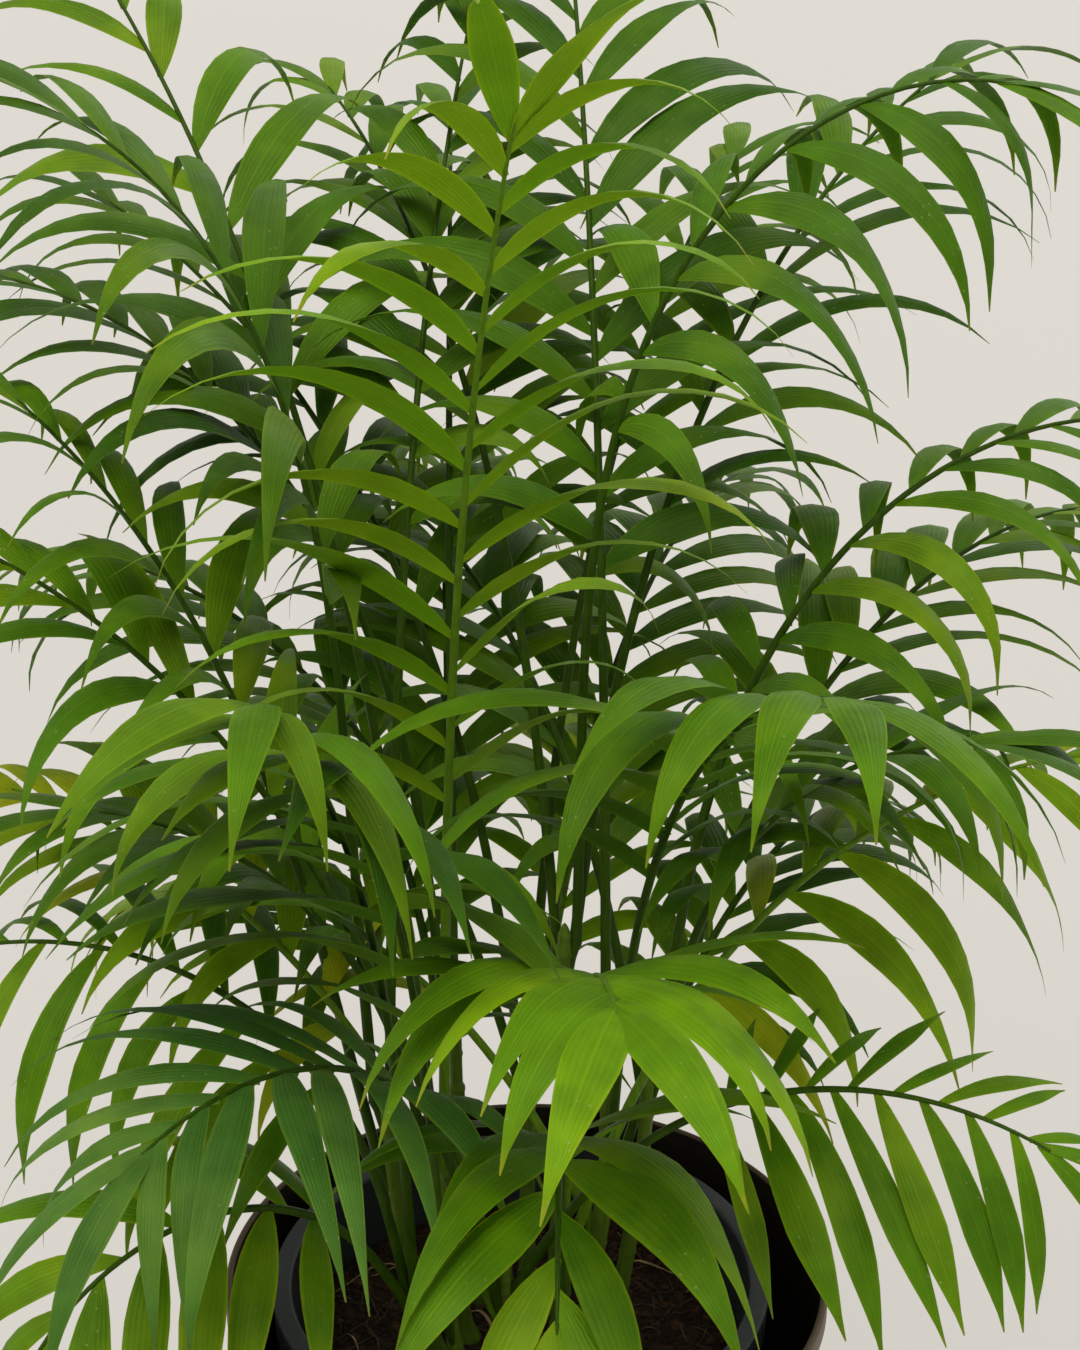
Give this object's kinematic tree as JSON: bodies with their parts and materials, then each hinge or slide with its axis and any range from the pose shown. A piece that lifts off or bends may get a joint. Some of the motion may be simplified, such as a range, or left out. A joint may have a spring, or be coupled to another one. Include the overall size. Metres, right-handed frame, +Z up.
{
  "type": "potted palm",
  "caption": "Parlour palm growing as a clump of thin green canes with arching feathery fronds, in a grey nursery pot inside a plain brown tapered outer pot.",
  "frame": {"origin": "middle of the outer pot's flat underside", "axes": "+Z up along the pot's axis, -Y towards the side that the picture shows, +X to its right"},
  "size_m": [0.6809, 0.7184, 0.9192],
  "materials": {
    "pot_brown": "smooth satin brown plastic",
    "nursery_grey": "thin slate grey moulded plastic",
    "soil_dark": "dark brown fibrous potting soil",
    "cane_green": "smooth green cane with pale rings",
    "leaf_lime": "soft satin young leaf, bright yellow green",
    "leaf_mid": "soft satin leaf, fresh green",
    "leaf_deep": "soft satin older leaf, deep green",
    "leaf_olive": "soft satin leaf, yellowed olive green"
  },
  "bodies": {
    "root": {"outer_pot": "pot_brown", "nursery_pot": "nursery_grey", "soil": "soil_dark", "cane_1": "cane_green", "cane_2": "cane_green", "cane_3": "cane_green", "cane_4": "cane_green", "cane_5": "cane_green", "cane_6": "cane_green", "cane_7": "cane_green", "cane_8": "cane_green", "cane_9": "cane_green", "cane_10": "cane_green", "cane_11": "cane_green", "cane_12": "cane_green", "frond_centre_bright": "leaf_lime", "frond_back_tall": "leaf_deep", "frond_upper_right": "leaf_mid", "frond_back_left_tall": "leaf_deep", "frond_upper_left": "leaf_mid", "frond_left_arch": "leaf_deep", "frond_left_far": "leaf_deep", "frond_left_middle": "leaf_mid", "frond_right_middle": "leaf_mid", "frond_right_arch": "leaf_mid", "frond_right_low": "leaf_olive", "frond_left_front": "leaf_mid", "frond_left_front_inner": "leaf_deep", "frond_left_level": "leaf_mid", "frond_left_yellow": "leaf_olive", "frond_left_comb": "leaf_mid", "frond_front_left_blue": "leaf_deep", "frond_front_left_low": "leaf_mid", "frond_front_bright": "leaf_lime", "frond_right_front_low": "leaf_mid", "frond_front_low": "leaf_mid", "frond_inner_left": "leaf_deep", "frond_inner_right": "leaf_deep", "frond_far_high_1": "leaf_deep", "frond_far_high_2": "leaf_mid", "frond_far_high_3": "leaf_deep", "frond_far_high_4": "leaf_mid", "frond_far_high_5": "leaf_deep", "frond_far_middle_1": "leaf_mid", "frond_far_middle_2": "leaf_deep", "frond_far_middle_3": "leaf_mid", "frond_far_middle_4": "leaf_deep", "frond_far_middle_5": "leaf_mid", "frond_far_low_1": "leaf_deep", "frond_far_low_2": "leaf_olive", "frond_far_low_3": "leaf_deep", "frond_far_low_4": "leaf_olive"}
  },
  "joints": []
}
